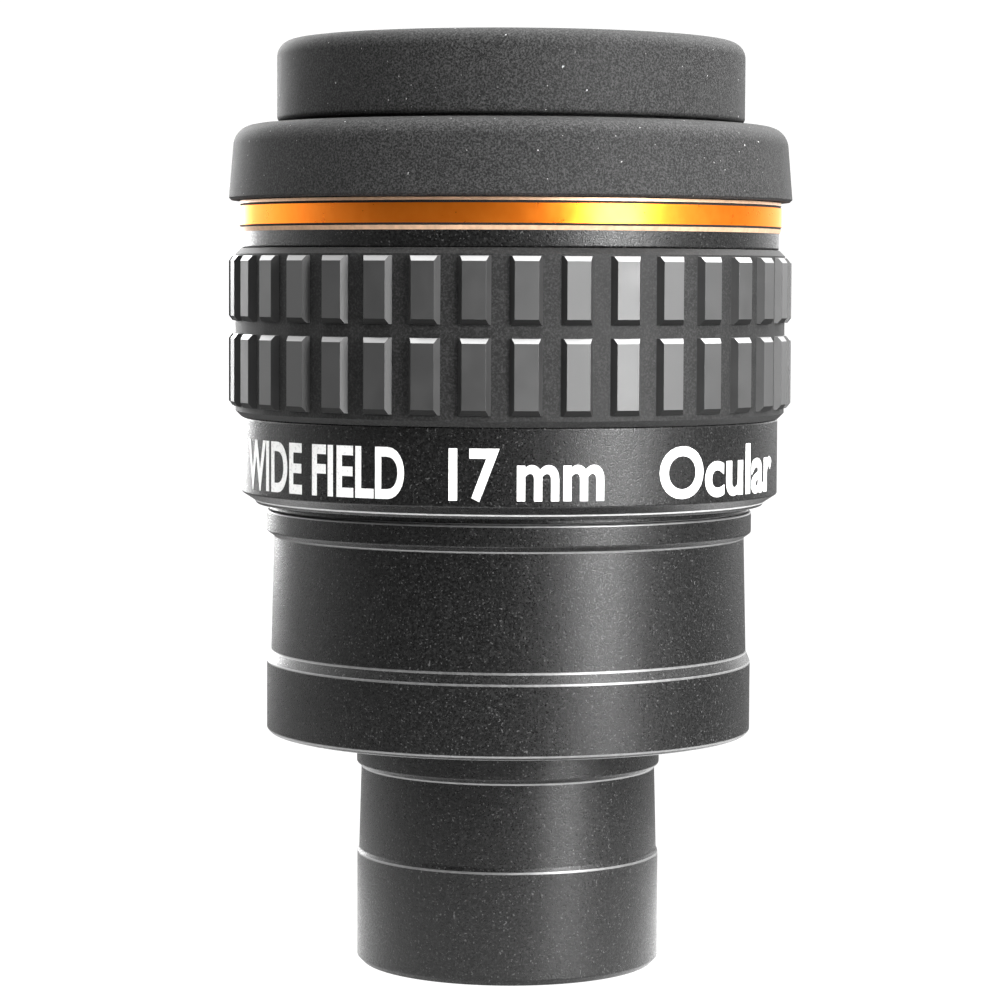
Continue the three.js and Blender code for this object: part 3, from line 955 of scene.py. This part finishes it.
# ---- Stage, light and camera -------------------------------------------------------------------
FLOOR_HEIGHT = -5.6 * MM  # just under the nosepiece when it is screwed out
FLOOR_SIZE = 8.0  # metres each way
FLOOR_THROWN = (0.04, 0.15, 0.62, 0.07)  # near and far distance, and how pale the floor is at each
BACKDROP = 1.1  # radiance of floor and backdrop to the camera, a plain white
DIM_SIDE = math.radians(-28)  # the room's darkest direction, left of the camera
ROOM = (  # share of the way round to the dim side, and the room's radiance there
    (0.0, 0.6),
    (0.2, 0.8),
    (0.35, 1.8),
    (0.5, 2.7),
    (0.65, 1.7),
    (0.8, 0.65),
    (0.88, 0.36),
    (0.95, 0.05),
    (1.0, 0.02),
)
PANELS = (  # direction, where its soft edge starts and ends as a cosine, radiance
    ((0, 0, 1), (0.8, 0.93), 6.0),  # overhead
    ((0, 1, 0), (0.3, 0.9), 2.2),  # straight behind, for bright rims
)


def build_stage():
    """A pale floor under the part, clear when seen from underneath.

    To the camera it is white without a shadow; the light it throws on the part fades with distance.
    """
    half = FLOOR_SIZE / 2
    mesh = bpy.data.meshes.new("floor")
    corners = [(x, y, FLOOR_HEIGHT) for x, y in ((-half, -half), (half, -half), (half, half), (-half, half))]
    mesh.from_pydata(corners, [], [(0, 1, 2, 3)])
    floor = bpy.data.objects.new("floor", mesh)
    bpy.context.scene.collection.objects.link(floor)
    material = bpy.data.materials.new("pale_floor")
    material.use_nodes = True
    tree = material.node_tree
    tree.nodes.clear()
    ray = tree.nodes.new("ShaderNodeLightPath")
    point = tree.nodes.new("ShaderNodeNewGeometry")

    distance = tree.nodes.new("ShaderNodeVectorMath")
    distance.operation = "LENGTH"
    tree.links.new(point.outputs["Position"], distance.inputs[0])
    fade = tree.nodes.new("ShaderNodeMapRange")
    fade.interpolation_type = "SMOOTHSTEP"
    for name, value in zip(("From Min", "From Max", "To Min", "To Max"), FLOOR_THROWN):
        fade.inputs[name].default_value = value
    tree.links.new(distance.outputs["Value"], fade.inputs["Value"])
    thrown = tree.nodes.new("ShaderNodeBsdfDiffuse")
    tree.links.new(fade.outputs["Result"], thrown.inputs["Color"])

    paper = tree.nodes.new("ShaderNodeEmission")
    paper.inputs["Strength"].default_value = BACKDROP
    from_above = tree.nodes.new("ShaderNodeMixShader")
    tree.links.new(ray.outputs["Is Camera Ray"], from_above.inputs["Fac"])
    tree.links.new(thrown.outputs["BSDF"], from_above.inputs[1])
    tree.links.new(paper.outputs["Emission"], from_above.inputs[2])

    seen_from_below = tree.nodes.new("ShaderNodeMath")
    seen_from_below.operation = "MULTIPLY"
    tree.links.new(ray.outputs["Is Camera Ray"], seen_from_below.inputs[0])
    tree.links.new(point.outputs["Backfacing"], seen_from_below.inputs[1])
    clear = tree.nodes.new("ShaderNodeBsdfTransparent")
    surface = tree.nodes.new("ShaderNodeMixShader")
    tree.links.new(seen_from_below.outputs["Value"], surface.inputs["Fac"])
    tree.links.new(from_above.outputs["Shader"], surface.inputs[1])
    tree.links.new(clear.outputs["BSDF"], surface.inputs[2])
    output = tree.nodes.new("ShaderNodeOutputMaterial")
    tree.links.new(surface.outputs["Shader"], output.inputs["Surface"])
    mesh.materials.append(material)


def build_world():
    """A white room, dim to the camera's left, with a bright panel overhead and a white backdrop."""
    world = bpy.data.worlds.new("studio")
    bpy.context.scene.world = world
    world.use_nodes = True
    tree = world.node_tree
    tree.nodes.clear()
    direction = tree.nodes.new("ShaderNodeTexCoord").outputs["Generated"]

    def facing(toward, edges, blend="SMOOTHSTEP"):
        """Rises from 0 to 1 as the cosine to this direction goes from the first edge to the second."""
        cosine = tree.nodes.new("ShaderNodeVectorMath")
        cosine.operation = "DOT_PRODUCT"
        cosine.inputs[1].default_value = toward
        tree.links.new(direction, cosine.inputs[0])
        shade = tree.nodes.new("ShaderNodeMapRange")
        shade.interpolation_type = blend
        shade.inputs["From Min"].default_value = edges[0]
        shade.inputs["From Max"].default_value = edges[1]
        tree.links.new(cosine.outputs["Value"], shade.inputs["Value"])
        return shade.outputs["Result"]

    def glow(value, strength):
        """Light of this strength, times a socket's colour unless that is None."""
        light = tree.nodes.new("ShaderNodeBackground")
        light.inputs["Strength"].default_value = strength
        light.inputs["Color"].default_value = (1, 1, 1, 1)
        if value:
            tree.links.new(value, light.inputs["Color"])
        return light.outputs["Background"]

    brightest = max(radiance for _, radiance in ROOM)
    walls = tree.nodes.new("ShaderNodeValToRGB")
    while len(walls.color_ramp.elements) < len(ROOM):
        walls.color_ramp.elements.new(0.5)
    for element, (share, radiance) in zip(walls.color_ramp.elements, ROOM):
        element.position = share
        element.color = (radiance / brightest,) * 3 + (1,)
    dim_side = (math.sin(DIM_SIDE), -math.cos(DIM_SIDE), 0)
    tree.links.new(facing(dim_side, (-1, 1), "LINEAR"), walls.inputs["Fac"])
    room = glow(walls.outputs["Color"], brightest)
    for toward, edges, radiance in PANELS:
        both = tree.nodes.new("ShaderNodeAddShader")
        tree.links.new(room, both.inputs[0])
        tree.links.new(glow(facing(toward, edges), radiance), both.inputs[1])
        room = both.outputs["Shader"]
    seen = tree.nodes.new("ShaderNodeLightPath")
    choice = tree.nodes.new("ShaderNodeMixShader")
    output = tree.nodes.new("ShaderNodeOutputWorld")
    tree.links.new(seen.outputs["Is Camera Ray"], choice.inputs["Fac"])
    tree.links.new(room, choice.inputs[1])
    tree.links.new(glow(None, BACKDROP), choice.inputs[2])
    tree.links.new(choice.outputs["Shader"], output.inputs["Surface"])


SOFTBOXES = (  # name, azimuth from the camera, elevation, distance, width, height, watts
    ("key", 44, 15, 0.7, 0.27, 0.5, 11.5),
    ("right_top", 115, 48, 0.7, 0.5, 0.5, 8),
    ("back", 205, 12, 0.8, 0.25, 0.5, 4),
)


def softbox(name, azimuth, elevation, distance, width, height, watts):
    """A soft rectangular light aimed at the middle of the part."""
    middle = Vector((0, 0, CAD_BOX[1].z / 2))
    around, up = math.radians(azimuth), math.radians(elevation)
    away = Vector((math.sin(around) * math.cos(up), -math.cos(around) * math.cos(up), math.sin(up)))
    light = bpy.data.lights.new(name, "AREA")
    light.shape = "RECTANGLE"
    light.size = width
    light.size_y = height
    light.energy = watts
    lamp = bpy.data.objects.new(name, light)
    lamp.location = middle + away * distance
    lamp.rotation_euler = away.to_track_quat("Z", "Y").to_euler()
    bpy.context.scene.collection.objects.link(lamp)


def build_lights():
    for settings in SOFTBOXES:
        softbox(*settings)


CAMERA_PLACE = (-1.07 * MM, -370.6 * MM, 72.15 * MM)
CAMERA_LENS = 127.08  # mm, on a sensor 36 mm wide
CAMERA_DIP = math.radians(3.64)  # below level
CAMERA_ROLL = math.radians(-0.27)


def build_camera():
    """Stands 0.37 m in front, a little above the eyecup's skirt, looking slightly down."""
    camera = bpy.data.cameras.new("camera")
    camera.lens = CAMERA_LENS
    camera.sensor_width = 36
    camera.clip_start = 0.01
    holder = bpy.data.objects.new("camera", camera)
    holder.location = CAMERA_PLACE
    holder.rotation_euler = Euler((math.pi / 2 - CAMERA_DIP, CAMERA_ROLL, 0), "XYZ")
    bpy.context.scene.collection.objects.link(holder)
    bpy.context.scene.camera = holder
    bpy.context.scene.view_settings.view_transform = "Standard"


# ---- Everything --------------------------------------------------------------------------------
build_camera()
build_world()
build_lights()
build_stage()
build_nosepiece()
build_barrel()
build_body()
build_trim_ring()
build_collar()
build_grip()
build_lettering()
build_lenses()
build_inner_rings()
build_eyecup_skirt()
build_eyecup_wall()
build_eyecup_fold()
